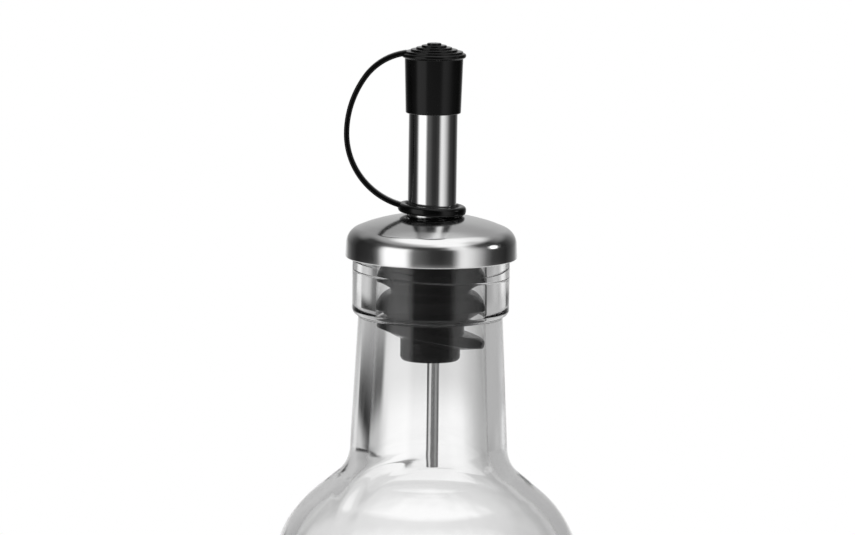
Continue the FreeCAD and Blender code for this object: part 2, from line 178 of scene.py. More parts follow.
class Workbench:
    """Modelling steps on one mesh, made with the same operators as by hand."""

    @staticmethod
    def begin(name: str, at: Vector) -> bpy.types.Object:
        """Start a piece as a single point.

        Args:
            name: Name of the piece.
            at: Where the point lies, in metres.

        Returns:
            The piece, in edit mode with its point selected.
        """
        bpy.ops.object.select_all(action="DESELECT")
        bpy.ops.mesh.primitive_plane_add(size=MM, location=ORIGIN)
        piece = bpy.context.active_object
        piece.name = name
        piece.data.name = name
        bpy.ops.object.mode_set(mode="EDIT")
        bpy.ops.mesh.select_all(action="SELECT")
        bpy.ops.mesh.merge(type="CENTER")
        bpy.ops.transform.translate(value=at)
        return piece

    @classmethod
    def outline(cls, name: str, points: list[Vector], closed: bool) -> bpy.types.Object:
        """Draw an outline by extruding a point along it.

        Args:
            name: Name of the piece.
            points: The points of the outline, in metres.
            closed: Whether its last point joins its first.

        Returns:
            The piece, in edit mode with the whole outline selected.
        """
        piece = cls.begin(name, points[0])
        for before, after in zip(points, points[1:]):
            move = {"value": after - before}
            bpy.ops.mesh.extrude_region_move(TRANSFORM_OT_translate=move)
        if closed:
            cls.select(piece, lambda vertex: vertex.index in (0, len(points) - 1))
            bpy.ops.mesh.edge_face_add()
        bpy.ops.mesh.select_all(action="SELECT")
        return piece

    @staticmethod
    def select(piece: bpy.types.Object, wanted: Callable[[bmesh.types.BMVert], bool]) -> None:
        """Select the vertices that a test accepts.

        Args:
            piece: The piece in edit mode.
            wanted: Test that takes a vertex and tells whether to select it.
        """
        bpy.ops.mesh.select_all(action="DESELECT")
        bpy.ops.mesh.select_mode(type="VERT")
        mesh = bmesh.from_edit_mesh(piece.data)
        mesh.verts.index_update()
        for vertex in mesh.verts:
            if wanted(vertex):
                vertex.select_set(True)
        mesh.select_flush_mode()
        bmesh.update_edit_mesh(piece.data)

    @staticmethod
    def close(smooth_angle: float = 35.0) -> None:
        """Merge doubled points, turn the faces outwards and shade the piece smooth.

        Args:
            smooth_angle: Faces that meet at less than this angle, in degrees, look smooth.
        """
        bpy.ops.mesh.select_all(action="SELECT")
        bpy.ops.mesh.remove_doubles(threshold=MERGE_REACH)
        bpy.ops.mesh.normals_make_consistent(inside=False)
        bpy.ops.object.mode_set(mode="OBJECT")
        bpy.ops.object.shade_smooth_by_angle(angle=math.radians(smooth_angle))

    @classmethod
    def turn(cls, name: str, corners: list[Corner], level: float, fineness: Fineness,
             closed: bool = True) -> bpy.types.Object:
        """Turn an outline round the upright axis, as on a lathe.

        Args:
            name: Name of the piece.
            corners: Corners of the outline, in millimetres.
            level: Height of the mouth in the frame, in metres.
            fineness: Steps of a full turn.
            closed: False for an outline that starts and ends on the axis.

        Returns:
            The finished piece in object mode.
        """
        points = [Vector((point.x * MM, 0.0, level + point.y * MM))
                  for point in trace(corners, closed)]
        piece = cls.outline(name, points, closed)
        bpy.ops.mesh.spin(steps=fineness.value, angle=2 * math.pi, center=ORIGIN, axis=UP)
        cls.close()
        return piece

    @staticmethod
    def sweep(centre: Vector, level: float, turn: float, steps: int) -> None:
        """Sweep the selected section round an axis along Y, and leave its end selected.

        Args:
            centre: A point of the axis, in millimetres from the middle of the mouth.
            level: Height of the mouth in the frame, in metres.
            turn: Angle of the sweep in radians.
            steps: How many steps it takes.
        """
        spot = Vector((centre.x * MM, 0.0, level + centre.z * MM))
        bpy.ops.mesh.spin(steps=steps, angle=turn, center=spot, axis=ALONG_Y)

    @staticmethod
    def tilt(piece: bpy.types.Object, degrees: float, about: Vector) -> None:
        """Turn a finished piece about an axis along Y, with its place kept in its mesh.

        Args:
            piece: The piece in object mode.
            degrees: Angle; a positive one lifts the -X side.
            about: Point that stays where it is, in metres.
        """
        turned = Matrix.Rotation(math.radians(degrees), 4, "Y")
        piece.data.transform(Matrix.Translation(about) @ turned @ Matrix.Translation(-about))


# ---- Shader maths ----


class Field:
    """A number that varies over a surface: a socket with arithmetic that adds Math nodes."""

    def __init__(self, tree: Nodes, socket: bpy.types.NodeSocket) -> None:
        """Wrap a socket of a node tree."""
        self.tree = tree
        self.socket = socket

    def _math(self, operation: str, *values: Field | float) -> Field:
        """Add a Math node over this field and other values."""
        inputs = dict(enumerate(values))
        return self.tree.number("ShaderNodeMath", {"operation": operation}, inputs)

    def __add__(self, other: Field | float) -> Field:
        """Add."""
        return self._math("ADD", self, other)

    def __sub__(self, other: Field | float) -> Field:
        """Subtract."""
        return self._math("SUBTRACT", self, other)

    def __rsub__(self, other: float) -> Field:
        """Subtract from a number."""
        return self._math("SUBTRACT", other, self)

    def __mul__(self, other: Field | float) -> Field:
        """Multiply."""
        return self._math("MULTIPLY", self, other)

    def __truediv__(self, other: Field | float) -> Field:
        """Divide."""
        return self._math("DIVIDE", self, other)

    __radd__ = __add__
    __rmul__ = __mul__

    def size(self) -> Field:
        """Drop the sign."""
        return self._math("ABSOLUTE", self)

    def arcsine(self) -> Field:
        """Angle in radians whose sine this is."""
        return self._math("ARCSINE", self)

    def bearing(self, other: Field) -> Field:
        """Angle in radians of the direction whose sides are this field and another."""
        return self._math("ARCTAN2", self, other)

    def root(self) -> Field:
        """Square root."""
        return self._math("SQRT", self)

    def ramp(self, low: float, high: float) -> Field:
        """Rise smoothly from 0 at low to 1 at high.

        Args:
            low: Value where the rise starts.
            high: Value where it ends; below low, the field falls instead.

        Returns:
            The field between 0 and 1.
        """
        settings = {"interpolation_type": "SMOOTHSTEP"}
        falling = high < low
        inputs = {"Value": self, "From Min": min(low, high), "From Max": max(low, high)}
        rise = self.tree.number("ShaderNodeMapRange", settings, inputs)
        return 1 - rise if falling else rise


class Nodes:
    """A material's or the world's node tree, cleared and ready to be filled."""

    def __init__(self, tree: bpy.types.NodeTree) -> None:
        """Clear a node tree."""
        self.tree = tree
        tree.nodes.clear()

    def add(self, kind: str, settings: dict | None = None,
            inputs: dict | None = None) -> bpy.types.Node:
        """Add a node.

        Args:
            kind: Type name of the node.
            settings: Properties that are set first; "stops" gives a colour ramp's stops.
            inputs: Values or links by socket name or number.

        Returns:
            The node.
        """
        node = self.tree.nodes.new(kind)
        for name, setting in (settings or {}).items():
            if name == "stops":
                self._set_stops(node.color_ramp, setting)
            else:
                setattr(node, name, setting)
        for name, given in (inputs or {}).items():
            source = given.socket if isinstance(given, Field) else given
            if isinstance(source, bpy.types.NodeSocket):
                self.tree.links.new(source, node.inputs[name])
            else:
                node.inputs[name].default_value = source
        return node

    @staticmethod
    def _set_stops(ramp: bpy.types.ColorRamp, stops: list[tuple[float, float]]) -> None:
        """Give a ramp its stops, each a position and a grey level."""
        while len(ramp.elements) < len(stops):
            ramp.elements.new(1.0)
        for element, (position, grey) in zip(ramp.elements, stops):
            element.position = position
            element.color = (grey, grey, grey, 1.0)

    def number(self, kind: str, settings: dict | None = None,
               inputs: dict | None = None) -> Field:
        """Add a node and wrap its first output as a field."""
        return Field(self, self.add(kind, settings, inputs).outputs[0])

    def place(self) -> bpy.types.NodeSocket:
        """Position on the object, in the frame."""
        return self.add("ShaderNodeTexCoord").outputs["Object"]

    def axes(self, vector: bpy.types.NodeSocket) -> tuple[Field, Field, Field]:
        """Split a vector into its three fields."""
        node = self.add("ShaderNodeSeparateXYZ", inputs={"Vector": vector})
        x, y, z = (Field(self, output) for output in node.outputs)
        return x, y, z

    def noise(self, vector: bpy.types.NodeSocket, scale: float, detail: float = 2.0) -> Field:
        """Soft noise between 0 and 1 at a scale in cells per metre."""
        inputs = {"Vector": vector, "Scale": scale, "Detail": detail}
        return self.number("ShaderNodeTexNoise", {}, inputs)

    def stretched(self, vector: bpy.types.NodeSocket,
                  scale: tuple[float, float, float]) -> bpy.types.NodeSocket:
        """Scale a position along each axis, so that a noise on it is drawn out."""
        return self.add("ShaderNodeMapping", inputs={"Vector": vector, "Scale": scale}).outputs[0]

    def blend(self, share: Field, dark: tuple[float, float, float],
              light: tuple[float, float, float]) -> bpy.types.NodeSocket:
        """Mix two colours by a field, on the sockets that a Mix node keeps for colours."""
        inputs = {0: share, 6: (*dark, 1.0), 7: (*light, 1.0)}
        return self.add("ShaderNodeMix", {"data_type": "RGBA"}, inputs).outputs[2]

    def bump(self, height: Field, depth: float) -> bpy.types.NodeSocket:
        """Raise a surface by a field, times a depth in metres."""
        inputs = {"Height": height, "Distance": depth, "Strength": 1.0}
        return self.add("ShaderNodeBump", inputs=inputs).outputs[0]

    def surface(self, **inputs: object) -> None:
        """Finish a material with a Principled shader; underscores in names stand for spaces."""
        named = {name.replace("_", " "): given for name, given in inputs.items()}
        shader = self.add("ShaderNodeBsdfPrincipled", inputs=named)
        self.add("ShaderNodeOutputMaterial", inputs={"Surface": shader.outputs[0]})


# ---- Finishes ----


@dataclass(frozen=True)
class ClearGlass:
    """Colourless moulded glass with faint waves and the mould's parting line.

    Lengths are in metres, and scales are in cells per metre.

    Attributes:
        index: Refractive index.
        wave_depth: Depth of the waves.
        wave_scale: Scale of the waves.
        wave_stretch: Share of that scale that they keep upright.
        draw_depth: Depth of the upright streaks where the glass was drawn.
        draw_scale: Scale of the streaks.
        draw_stretch: Share of that scale that they keep upright.
        fold_below_mouth: Depth under the mouth of the middle of a soft fold, which curves round
            the front of the shoulder on the strap's side.
        fold_radius: Radius of that fold.
        fold_width: Half its width.
        fold_depth: Its height.
        fold_ends: How far to the right and left of the axis the fold begins and is whole.
        fold_feet: How far over its middle it begins and is whole.
        fold_front: How far behind and before the axis it begins and is whole.
        line_width: Half the width of the parting line round the finish.
        line_depth: Height of that line.
        line_below_mouth: Depth of that line under the mouth.
        line_slope: Rise of that line along +X.
        line_outside: Distances from the axis between which it comes up, so the bore is without it.
    """

    index: float = 1.5
    wave_depth: float = 0.00005
    wave_scale: float = 60.0
    wave_stretch: float = 0.35
    draw_depth: float = 0.00003
    draw_scale: float = 260.0
    draw_stretch: float = 0.12
    fold_below_mouth: float = 0.0595
    fold_radius: float = 0.017
    fold_width: float = 0.0022
    fold_depth: float = 0.00018
    fold_ends: tuple[float, float] = (0.002, -0.006)
    fold_feet: tuple[float, float] = (0.002, 0.008)
    fold_front: tuple[float, float] = (0.001, -0.002)
    line_width: float = 0.00022
    line_depth: float = 0.0001
    line_below_mouth: float = 0.0071
    line_slope: float = -0.045
    line_outside: tuple[float, float] = (0.0125, 0.0148)

    def material(self, mouth: float) -> bpy.types.Material:
        """Make the material.

        Args:
            mouth: Height of the mouth in the frame, in metres.

        Returns:
            The material.
        """
        material = new_material("clear_glass")
        nodes = Nodes(material.node_tree)
        place = nodes.place()
        x, y, z = nodes.axes(place)
        outside = (x * x + y * y).root().ramp(*self.line_outside)
        drawn_place = nodes.stretched(place, (1.0, 1.0, self.draw_stretch))
        draws = nodes.noise(drawn_place, self.draw_scale, detail=1.0)
        wave_place = nodes.stretched(place, (1.0, 1.0, self.wave_stretch))
        waves = nodes.noise(wave_place, self.wave_scale)
        height = mouth - self.line_below_mouth + x * self.line_slope
        line = ((z - height).size() / self.line_width).ramp(1.0, 0.0) * outside
        relief = waves * (self.wave_depth / self.line_depth) + line
        relief = relief + draws * (self.draw_depth / self.line_depth)
        over_fold = z - (mouth - self.fold_below_mouth)
        reach = (x * x + over_fold * over_fold).root() - self.fold_radius
        fold = (reach.size() / self.fold_width).ramp(1.0, 0.0) * x.ramp(*self.fold_ends)
        fold = fold * over_fold.ramp(*self.fold_feet) * y.ramp(*self.fold_front)
        relief = relief + fold * (self.fold_depth / self.line_depth)
        nodes.surface(Base_Color=(1.0, 1.0, 1.0, 1.0), Roughness=0.0, IOR=self.index,
                      Transmission_Weight=1.0, Normal=nodes.bump(relief, self.line_depth))
        return material


@dataclass(frozen=True)
class PolishedSteel:
    """Polished stainless steel with a fine grain.

    Attributes:
        grey: Brightness of the metal.
        roughness: Blur of its reflections.
        smudge: How much hazier it gets in patches.
        haze_scale: Cells of the patches per metre.
        haze_range: Levels of the patches between which the haze comes up.
        grain: Stretch of the grain along each axis, in cells per metre.
        grain_depth: Depth of the grain, in metres.
        tones: How much the brightness falls and rises in patches.
    """

    grey: float = 0.8
    roughness: float = 0.07
    smudge: float = 0.05
    haze_scale: float = 180.0
    haze_range: tuple[float, float] = (0.3, 0.8)
    grain: tuple[float, float, float] = (900.0, 900.0, 40.0)
    grain_depth: float = 0.0000012
    tones: tuple[float, float] = (-0.03, 0.02)

    def material(self, name: str) -> bpy.types.Material:
        """Make the material under a name."""
        material = new_material(name)
        nodes = Nodes(material.node_tree)
        place = nodes.place()
        haze = nodes.noise(place, self.haze_scale, detail=4.0)
        grain = nodes.noise(nodes.stretched(place, self.grain), scale=1.0, detail=3.0)
        dark, light = (self.grey + change for change in self.tones)
        tone = nodes.blend(haze, (dark,) * 3, (light,) * 3)
        nodes.surface(Base_Color=tone, Metallic=1.0,
                      Roughness=haze.ramp(*self.haze_range) * self.smudge + self.roughness,
                      Normal=nodes.bump(grain, self.grain_depth))
        return material


@dataclass(frozen=True)
class BlackPlastic:
    """Black moulded plastic with a soft sheen and a fine skin.

    Attributes:
        tone: Brightness of the plastic.
        roughness: Blur of its sheen.
        gloss: Strength of its sheen, where 0.5 is a common plastic's.
        skin_scale: Cells of the skin per metre.
        skin_depth: Depth of the skin, in metres.
        patch_scale: Cells of its patches per metre.
        tones: Shares of the brightness in its dark and its light patches.
        blotch: How much more its sheen is blurred in the light patches.
    """

    tone: float = 0.003
    roughness: float = 0.13
    gloss: float = 0.25
    skin_scale: float = 2600.0
    skin_depth: float = 0.0000015
    patch_scale: float = 140.0
    tones: tuple[float, float] = (0.6, 1.6)
    blotch: float = 0.06

    def material(self, name: str) -> bpy.types.Material:
        """Make the material under a name."""
        material = new_material(name)
        nodes = Nodes(material.node_tree)
        place = nodes.place()
        skin = nodes.noise(place, self.skin_scale, detail=3.0)
        patches = nodes.noise(place, self.patch_scale, detail=3.0)
        dark, light = (self.tone * share for share in self.tones)
        tone = nodes.blend(patches, (dark,) * 3, (light,) * 3)
        nodes.surface(Base_Color=tone, Roughness=patches * self.blotch + self.roughness,
                      Specular_IOR_Level=self.gloss, Normal=nodes.bump(skin, self.skin_depth))
        return material


def new_material(name: str) -> bpy.types.Material:
    """Start a material that uses nodes."""
    material = bpy.data.materials.new(name)
    material.use_nodes = True
    return material


def dress(piece: bpy.types.Object, material: bpy.types.Material) -> None:
    """Give a piece one material all over."""
    piece.data.materials.clear()
    piece.data.materials.append(material)


class Assembly:
    """What every sub-assembly shares: how its pieces join the frame."""

    @staticmethod
    def settle(piece: bpy.types.Object, material: bpy.types.Material, slot: str,
               *nodes: str) -> None:
        """Dress a piece, set it on the root body and let it stand for its nodes.

        Args:
            piece: The finished piece.
            material: Its material.
            slot: Material slot of the record that it takes its finish from; not used.
            nodes: Names of the nodes of the frame that it stands for.
        """
        dress(piece, material)
        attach(piece, ROOT)
        if nodes:
            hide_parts(*nodes)
        triangles = sum(len(face.vertices) - 2 for face in piece.data.polygons)
        LOG.info("%s: %d triangles", piece.name, triangles)


# ---- Sub-assemblies ----


@dataclass
class GlassBottle(Assembly):
    """The glass: body, shoulder, neck, and the thick finish ring round the mouth."""

    height: float = 260.0
    body: float = 31.0
    body_wall: float = 2.8
    heel: float = 6.0
    floor: float = 5.0
    floor_rounding: float = 5.0
    foot: float = 21.0
    foot_rounding: float = 1.5
    punt: float = 4.0
    punt_margin: float = 1.0
    shoulder_top: float = -58.3
    shoulder_rounding: float = 22.0
    shoulder_wall: float = 3.0
    neck_base: float = -45.8
    neck_base_outer: float = 15.9
    neck_base_inner: float = 12.2
    neck_base_rounding: float = 7.5
    neck_top: float = 14.4
    finish: float = 15.65
    finish_foot: float = -15.5
    finish_rounding: float = 1.2
    finish_crease: float = 0.4
    lip: float = 1.0
    bore: float = 10.9
    bore_easing: float = 3.0
    dish_steps: int = 10

    def corners(self) -> list[Corner]:
        """Outline of the glass, from under the base, up outside and back down inside."""
        base = -self.height
        inside = self.body - self.body_wall
        slope = (self.neck_base - self.shoulder_top) / (self.body - self.neck_base_outer)
        drop = self.shoulder_wall * math.hypot(1.0, slope)
        inner_base = self.neck_base + (self.neck_base_outer - self.neck_base_inner) * slope - drop
        inner_top = self.neck_base - (inside - self.neck_base_outer) * slope - drop
        punt_radius = (self.foot ** 2 + self.punt ** 2) / (2 * self.punt)
        rise = self.punt / 2
        floor_edge = inside - self.floor_rounding
        floor_radius = (floor_edge ** 2 + rise ** 2) / (2 * rise)
        punt = crown(punt_radius, base + self.punt, 0.0, self.foot - self.punt_margin,
                     self.dish_steps)
        floor = crown(floor_radius, base + self.floor + rise, floor_edge, 0.0, self.dish_steps)
        return [
            *punt,
            Corner(self.foot, base, self.foot_rounding, Arc.SMALL),
            Corner(self.body, base, self.heel, Arc.BROAD),
            Corner(self.body, self.shoulder_top, self.shoulder_rounding, Arc.SHOULDER),
            Corner(self.neck_base_outer, self.neck_base, self.neck_base_rounding, Arc.LARGE),
            Corner(self.neck_top, self.finish_foot, self.finish_crease, Arc.SMALL),
            Corner(self.finish, self.finish_foot, self.finish_rounding, Arc.SOFT),
            Corner(self.finish, 0.0, self.lip),
            Corner(self.bore, 0.0, self.lip),
            Corner(self.bore, self.finish_foot, self.bore_easing, Arc.SMALL),
            Corner(self.neck_base_inner, inner_base,
                   self.neck_base_rounding + self.shoulder_wall, Arc.LARGE),
            Corner(inside, inner_top, self.shoulder_rounding - self.shoulder_wall, Arc.SHOULDER),
            Corner(inside, base + self.floor, self.floor_rounding, Arc.SOFT),
            *floor[1:],
        ]

    def build(self, level: float) -> None:
        """Turn the glass and dress it."""
        glass = Workbench.turn("bottle_glass", self.corners(), level, Fineness.WIDE, closed=False)
        self.settle(glass, ClearGlass().material(level), "clear_glass", "bottle")


@dataclass
class SteelPourer(Assembly):
    """The steel: the domed plate over the mouth, the spout tube and the air tube."""

    plate: float = 16.9
    plate_rim: float = 17.1
    rim: float = -4.0
    crown_radius: float = 40.0
    crown_apex: float = 4.8
    corner: float = 3.5
    crown_steps: int = 24
    steel: float = 0.5
    rim_easing: float = 0.225
    tube: float = 4.85
    tube_easing: float = 0.2
    tube_foot: float = -5.0
    tube_top: float = 34.6
    slack: float = 0.05

    def plate_corners(self) -> list[Corner]:
        """Outline of the plate: up the skirt, in over the crown, and back underneath."""
        hole = self.tube + self.slack
        inside = self.plate - self.steel
        under_radius = self.crown_radius - self.steel
        under_apex = self.crown_apex - self.steel
        edge = dome_height(self.crown_radius, self.crown_apex, self.plate)
        under_edge = dome_height(under_radius, under_apex, inside)
        top = crown(self.crown_radius, self.crown_apex, self.plate - self.corner, hole,
                    self.crown_steps)
        under = crown(under_radius, under_apex, hole, inside - self.corner, self.crown_steps)
        return [
            Corner(self.plate_rim, self.rim, self.rim_easing, Arc.TINY),
            Corner(self.plate, edge, self.corner, Arc.LARGE),
            *top[1:],
            *under[:-1],
            Corner(inside, under_edge, self.corner - self.steel, Arc.BROAD),
            Corner(self.plate_rim - self.steel, self.rim, self.rim_easing, Arc.TINY),
        ]

    def tube_corners(self) -> list[Corner]:
        """Outline of the spout tube's wall, with its ends eased."""
        inside = self.tube - self.steel
        ends = ((inside, self.tube_foot), (self.tube, self.tube_foot),
                (self.tube, self.tube_top), (inside, self.tube_top))
        return [Corner(across, height, self.tube_easing, Arc.TINY) for across, height in ends]

    def build(self, level: float, air_tube: bpy.types.Object) -> None:
        """Build the steel pieces and dress them.

        Args:
            level: Height of the mouth in the frame, in metres.
            air_tube: The frame's air tube, which keeps its shape.
        """
        bright = PolishedSteel().material("polished_steel_tube")
        pressed = PolishedSteel(roughness=0.13, grain=(500.0, 500.0, 500.0))
        plate = Workbench.turn("dome_plate", self.plate_corners(), level, Fineness.WIDE)
        self.settle(plate, pressed.material("polished_steel_plate"), "polished_steel", "dome_cap")
        tube = Workbench.turn("spout", self.tube_corners(), level, Fineness.ROUND)
        self.settle(tube, bright, "polished_steel", "spout_tube")
        dress(air_tube, bright)


@dataclass
class Stopper(Assembly):
    """The black stopper: a head on the mouth, a core, and fins that fill the bore."""

    head: float = 14.2
    head_top: float = 1.6
    head_rounding: float = 0.8
    socket: float = 4.9
    socket_floor: float = -5.0
    sleeve_rise: float = 0.7
    crease: float = 0.3
    root: float = 8.0
    hub: float = 6.7
    core: float = 5.95
    core_foot: float = -24.2
    core_rounding: float = 1.0
    fin: float = 10.84
    first_fin: float = -8.1
    fin_pitch: float = 5.5
    fin_shoulder: float = 2.9
    fin_rounding: float = 2.5
    fin_crease: float = 0.2
    fin_edge: float = 0.15
    fin_skirt: float = 1.9
    last_fin: float = -19.2
    last_fin_shoulder: float = 2.0
    last_fin_rounding: float = 1.2
    last_fin_skirt: float = 1.5
    last_fin_tilt: float = 12.0

    def corners(self) -> list[Corner]:
        """Outline of the stopper without its tilted fin, from the socket out and down."""
        corners = [
            Corner(0.0, self.socket_floor),
            Corner(self.socket, self.socket_floor),
            Corner(self.socket, self.head_top + self.sleeve_rise),
            Corner(self.head, self.head_top, self.head_rounding),
            Corner(self.head, 0.0),
            Corner(self.root, 0.0, self.crease, Arc.TINY),
        ]
        steepness = self.fin_skirt / (self.fin - self.root)
        for rim, foot in ((self.first_fin, self.root), (self.first_fin - self.fin_pitch, self.hub)):
            corners += [
                Corner(self.root, rim + self.fin_shoulder, self.fin_crease, Arc.TINY),
                Corner(self.fin, rim + self.fin_shoulder, self.fin_rounding, Arc.BROAD),
                Corner(self.fin, rim, self.fin_edge, Arc.TINY),
                Corner(foot, rim - (self.fin - foot) * steepness, self.crease, Arc.TINY),
            ]
        return corners + [
            Corner(self.hub, self.last_fin, self.crease, Arc.TINY),
            Corner(self.core, self.last_fin, self.crease, Arc.TINY),
            Corner(self.core, self.core_foot, self.core_rounding, Arc.SOFT),
            Corner(0.0, self.core_foot),
        ]

    def last_fin_corners(self) -> list[Corner]:
        """Outline of the tilted fin, as it lies before it is tilted."""
        top = self.last_fin + self.last_fin_shoulder
        foot = self.last_fin - self.last_fin_skirt
        return [
            Corner(self.core / 2, foot),
            Corner(self.core / 2, top),
            Corner(self.fin, top, self.last_fin_rounding, Arc.BROAD),
            Corner(self.fin, self.last_fin, self.fin_edge, Arc.TINY),
            Corner(self.core, foot),
        ]

    def build(self, level: float) -> None:
        """Build the stopper and its tilted fin and dress them."""
        rubber = BlackPlastic(roughness=0.2, gloss=0.14).material("black_stopper")
        core = Workbench.turn("stopper_core", self.corners(), level, Fineness.ROUND, closed=False)
        self.settle(core, rubber, "black_rubber", "stopper", "stopper_head")
        fin = Workbench.turn("stopper_last_fin", self.last_fin_corners(), level, Fineness.ROUND)
        middle = Vector((0.0, 0.0, level + self.last_fin * MM))
        Workbench.tilt(fin, self.last_fin_tilt, middle)
        self.settle(fin, rubber, "black_rubber")


@dataclass
class PourCap(Assembly):
    """The black moulding over the spout: the stepped cap, the strap and the ring."""

    bore: float = 4.95
    ceiling: float = 35.0
    ceiling_rounding: float = 0.3
    foot: float = 24.8
    rim: float = 5.475
    neck: float = 5.8
    side_rounding: float = 0.2
    flange_foot: float = 35.75
    flange: float = 6.36
    flange_thickness: float = 0.9
    flange_rounding: float = 0.4
    step: float = 5.76
    step_tread: float = 1.085
    step_rise: float = 0.4
    step_crease: float = 0.1
    step_edge: float = 0.16
    steps: int = 5
    ring: float = 6.8
    ring_width: float = 1.7
    ring_thickness: float = 1.8
    ring_rounding: float = 0.7
    ring_level: float = 5.67
    ring_tilt: float = 2.9
    strap_reach: float = 17.1
    strap_bend: float = 20.6
    strap_thickness: float = 1.08
    strap_width: float = 2.3
    strap_rounding: float = 0.4
    strap_corner_steps: int = 5
    strap_turns: tuple[float, float] = (35.3, 47.7)
    strap_steps: tuple[int, int, int] = (14, 18, 26)
    strap_smooth_angle: float = 50.0
    strap_sink: float = 0.96
    strap_rise_on_ring: float = 0.3

    def cap_corners(self) -> list[Corner]:
        """Outline of the cap: its ceiling, its bore, its side, the flange and the steps."""
        top = self.flange_foot + self.flange_thickness
        corners = [
            Corner(0.0, self.ceiling),
            Corner(self.bore, self.ceiling, self.ceiling_rounding, Arc.TINY),
            Corner(self.bore, self.foot),
            Corner(self.rim, self.foot, self.side_rounding, Arc.SMALL),
            Corner(self.neck, self.flange_foot, self.side_rounding, Arc.SMALL),
            Corner(self.flange, self.flange_foot, self.flange_rounding),
            Corner(self.flange, top, self.flange_rounding),
        ]
        for count in range(self.steps):
            across = self.step - count * self.step_tread
            corners += [
                Corner(across, top + count * self.step_rise, self.step_crease, Arc.TINY),
                Corner(across, top + (count + 1) * self.step_rise, self.step_edge, Arc.SMALL),
            ]
        return corners + [Corner(0.0, top + self.steps * self.step_rise)]

    def ring_corners(self) -> list[Corner]:
        """Outline of the ring's section, as it lies before it is tilted."""
        half = self.ring_thickness / 2
        inside = self.ring - self.ring_width
        ends = ((inside, -half), (self.ring, -half), (self.ring, half), (inside, half))
        return [Corner(across, self.ring_level + height, self.ring_rounding)
                for across, height in ends]

    def upper_arcs(self, bend: Vector) -> list[tuple[Vector, float]]:
        """Work out the strap's two upper arcs, which meet without a kink.

        Args:
            bend: The strap's outermost point, where it runs straight up.

        Returns:
            Each arc's centre and turn in radians, from the bend up to the cap. Their radii are
            the ones with which the strap ends on the cap.
        """
        top = Vector((self.strap_sink - self.flange, 0.0, self.flange_foot + self.flange_thickness))
        first, second = (math.radians(turn) for turn in self.strap_turns)
        both = first + second
        across = (1 - math.cos(first), math.cos(first) - math.cos(both))
        up = (math.sin(first), math.sin(both) - math.sin(first))
        wide, high = top.x - bend.x, top.z - bend.z
        scale = across[0] * up[1] - across[1] * up[0]
        first_radius = (wide * up[1] - across[1] * high) / scale
        second_radius = (across[0] * high - wide * up[0]) / scale
        first_centre = bend + Vector((first_radius, 0.0, 0.0))
        shift = first_radius - second_radius
        second_centre = first_centre - Vector((math.cos(first), 0.0, -math.sin(first))) * shift
        return [(first_centre, first), (second_centre, second)]

    def lower_arc(self, bend: Vector) -> tuple[Vector, float]:
        """Work out the arc from the strap's outermost point down to the ring.

        Args:
            bend: The strap's outermost point, where it runs straight down.

        Returns:
            The arc's centre and its turn in radians.
        """
        ring_middle = self.ring - self.ring_width / 2
        ring_side = self.ring_level + ring_middle * math.sin(math.radians(self.ring_tilt))
        low = Vector((-ring_middle, 0.0, ring_side + self.strap_rise_on_ring))
        way = low - bend
        radius = way.dot(way) / (2 * way.x)
        return bend + Vector((radius, 0.0, 0.0)), math.asin((bend.z - low.z) / radius)

    def build_strap(self, level: float) -> bpy.types.Object:
        """Sweep the strap's rounded section up to the cap and down to the ring by spins.

        Args:
            level: Height of the mouth in the frame, in metres.

        Returns:
            The finished strap in object mode.
        """
        bend = Vector((-self.strap_reach, 0.0, self.strap_bend))
        thick, wide = self.strap_thickness / 2, self.strap_width / 2
        section = trace([Corner(bend.x + side * thick, end * wide, self.strap_rounding,
                                self.strap_corner_steps)
                         for side, end in ((-1, -1), (1, -1), (1, 1), (-1, 1))], closed=True)
        start = level + bend.z * MM
        points = [Vector((point.x * MM, point.y * MM, start)) for point in section]
        strap = Workbench.outline("cap_strap", points, closed=True)
        for (centre, turn), steps in zip(self.upper_arcs(bend), self.strap_steps):
            Workbench.sweep(centre, level, -turn, steps)
        Workbench.select(strap, lambda vertex: abs(vertex.co.z - start) < MERGE_REACH / 2)
        centre, turn = self.lower_arc(bend)
        Workbench.sweep(centre, level, turn, self.strap_steps[-1])
        bpy.ops.mesh.select_all(action="SELECT")
        bpy.ops.mesh.remove_doubles(threshold=MERGE_REACH)
        bpy.ops.mesh.select_all(action="DESELECT")
        bpy.ops.mesh.select_non_manifold()
        bpy.ops.mesh.fill_holes(sides=0)
        Workbench.close(self.strap_smooth_angle)
        return strap

    def build(self, level: float) -> None:
        """Build the cap, the strap and the ring and dress them."""
        plastic = BlackPlastic().material("black_cap")
        cap = Workbench.turn("pour_cap_cup", self.cap_corners(), level, Fineness.ROUND,
                             closed=False)
        self.settle(cap, plastic, "black_plastic", "pour_cap")
        self.settle(self.build_strap(level), plastic, "black_plastic")
        ring = Workbench.turn("strap_ring", self.ring_corners(), level, Fineness.ROUND)
        Workbench.tilt(ring, self.ring_tilt, Vector((0.0, 0.0, level + self.ring_level * MM)))
        self.settle(ring, plastic, "black_plastic")


# ---- Studio ----


@dataclass(frozen=True)
class Ring:
    """The surroundings at one height, all round the object.

    Attributes:
        fade_from: Elevation in degrees where the ring below starts to give way to this one.
        fade_to: Elevation where this ring has taken over.
        lights: Brightness, where 1 is white, by azimuth from -180 to 180 degrees. Azimuth 0 is
            in front (-Y), 90 on the right (+X) and -90 on the left.
    """

    fade_from: float
    fade_to: float
    lights: dict[float, float]


@dataclass(frozen=True)
class Lamp:
    """A small round lamp in the surroundings.

    Attributes:
        azimuth: Its direction in degrees, as in a ring.
        elevation: Its elevation in degrees.
        width: Angle in degrees between its middle and its edge.
        brightness: Its brightness, where 1 is white.
        fade: Where its edge starts and ends, as changes of the edge's cosine.
    """

    azimuth: float
    elevation: float
    width: float
    brightness: float
    fade: tuple[float, float] = (-0.004, 0.002)


